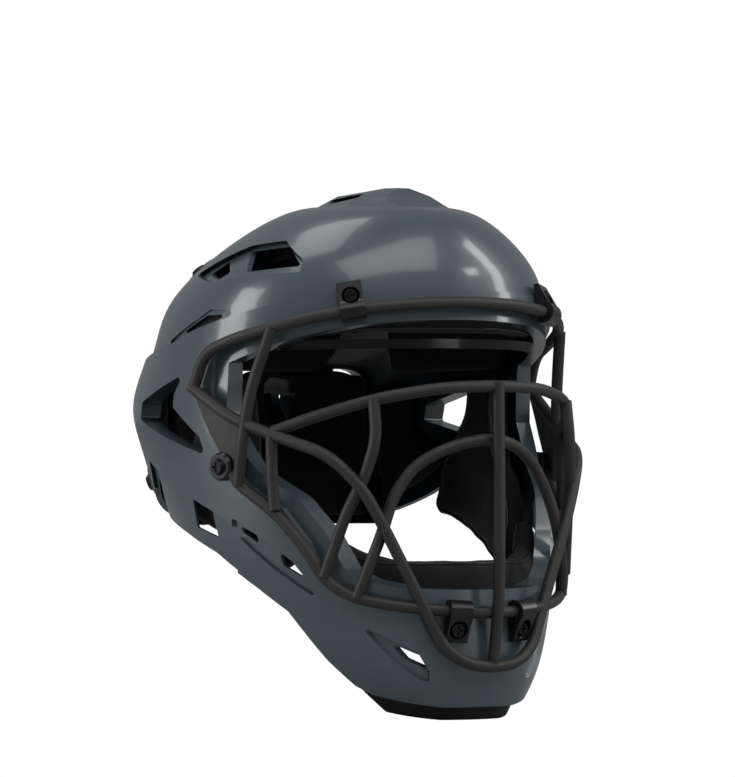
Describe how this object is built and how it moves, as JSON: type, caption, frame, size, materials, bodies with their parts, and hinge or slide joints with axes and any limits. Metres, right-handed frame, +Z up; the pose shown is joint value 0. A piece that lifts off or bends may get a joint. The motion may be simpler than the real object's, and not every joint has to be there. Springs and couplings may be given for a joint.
{
  "type": "catcher helmet",
  "caption": "Hockey-style catcher helmet: a hard shell with a wire face cage, padding, and a sprung back plate on elastic straps.",
  "frame": {"origin": "middle of the head space at ear level, on the mirror plane", "axes": "+Z up to the crown, -Y out through the face cage, +X to the wearer's left"},
  "size_m": [0.2296, 0.2707, 0.2811],
  "materials": {
    "shell_grey": "gloss lacquer",
    "dipped_wire": "matte dip coat",
    "black_clip": "gloss",
    "black_screw": "satin",
    "zinc_nut": "zinc plated",
    "pad_fabric": "mesh over foam",
    "liner_edge": "satin",
    "edge_rubber": "satin",
    "strap_webbing": "woven elastic"
  },
  "bodies": {
    "helmet": {"front_shell": "shell_grey", "brow_wire": "dipped_wire", "lower_wire": "dipped_wire", "jaw_bar": "dipped_wire", "eye_bar": "dipped_wire", "nose_arch": "dipped_wire", "centre_bar": "dipped_wire", "temple_strut_left": "dipped_wire", "temple_strut_right": "dipped_wire", "cheek_strut_left": "dipped_wire", "cheek_strut_right": "dipped_wire", "outer_strut_left": "dipped_wire", "outer_strut_right": "dipped_wire", "side_plate_left": "dipped_wire", "side_plate_right": "dipped_wire", "brow_clip_left": "black_clip", "brow_clip_right": "black_clip", "chin_clip_left": "black_clip", "chin_clip_right": "black_clip", "side_clip_left": "black_clip", "side_clip_right": "black_clip", "cage_screws": "black_screw", "cage_nuts": "zinc_nut", "brow_pad": "pad_fabric", "crown_pad": "pad_fabric", "occipital_pad": "pad_fabric", "temple_pad_left": "pad_fabric", "temple_pad_right": "pad_fabric", "cheek_pad_left": "pad_fabric", "cheek_pad_right": "pad_fabric", "nape_pad_left": "pad_fabric", "nape_pad_right": "pad_fabric", "chin_pad": "pad_fabric", "brow_strip": "liner_edge", "chin_trim": "edge_rubber", "strap_studs": "black_screw", "upper_strap_left": "strap_webbing", "upper_strap_right": "strap_webbing", "lower_strap_left": "strap_webbing", "lower_strap_right": "strap_webbing"},
    "back_plate": {"back_plate": "shell_grey", "back_pad_left": "pad_fabric", "back_pad_right": "pad_fabric", "strap_keeper_left": "black_clip", "strap_keeper_right": "black_clip", "plate_studs": "black_screw"}
  },
  "joints": [
    {"name": "back_plate_slide", "type": "slide", "parent": "helmet", "child": "back_plate", "axis": [0, 1, 0], "range_m": [0, 0.025], "stiffness_N_per_m": 500, "springref_m": -0.01, "deforming": ["upper_strap_left", "upper_strap_right", "lower_strap_left", "lower_strap_right"]}
  ]
}
